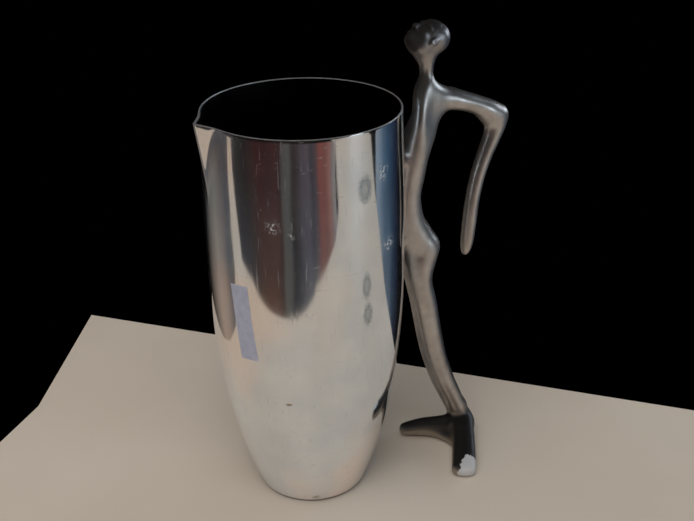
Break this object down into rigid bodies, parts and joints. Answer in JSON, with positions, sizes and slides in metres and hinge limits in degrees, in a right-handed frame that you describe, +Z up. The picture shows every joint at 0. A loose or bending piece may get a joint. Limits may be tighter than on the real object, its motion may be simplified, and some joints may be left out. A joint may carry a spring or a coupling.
{
  "type": "water pitcher",
  "caption": "Tall tapered polished metal water pitcher with a V spout and a cast standing figure for its handle, its bent arm forming the grip.",
  "frame": {"origin": "centre of the vessel's flat base, on the surface it stands on", "axes": "+Z up, +X from the vessel's axis towards the figure handle, -X towards the spout, +Y across"},
  "size_m": [0.1919, 0.111, 0.2718],
  "materials": {
    "polished_shell": "mirror polished, worn with fine scratches and cloudy smudges",
    "solder": "dull soft solder",
    "cast_metal": "hand polished casting with dark tarnish in the hollows",
    "screw_steel": "plain stainless",
    "seal_rubber": "soft black",
    "label_film": "thin matt film"
  },
  "bodies": {
    "root": {"vessel_wall": "polished_shell", "base_disc": "polished_shell", "base_solder_fillet": "solder", "figure_handle": "cast_metal", "upper_screw": "screw_steel", "lower_screw": "screw_steel", "upper_backing_washer": "screw_steel", "lower_backing_washer": "screw_steel", "upper_sealing_washer": "seal_rubber", "lower_sealing_washer": "seal_rubber", "blank_label": "label_film"}
  },
  "joints": []
}
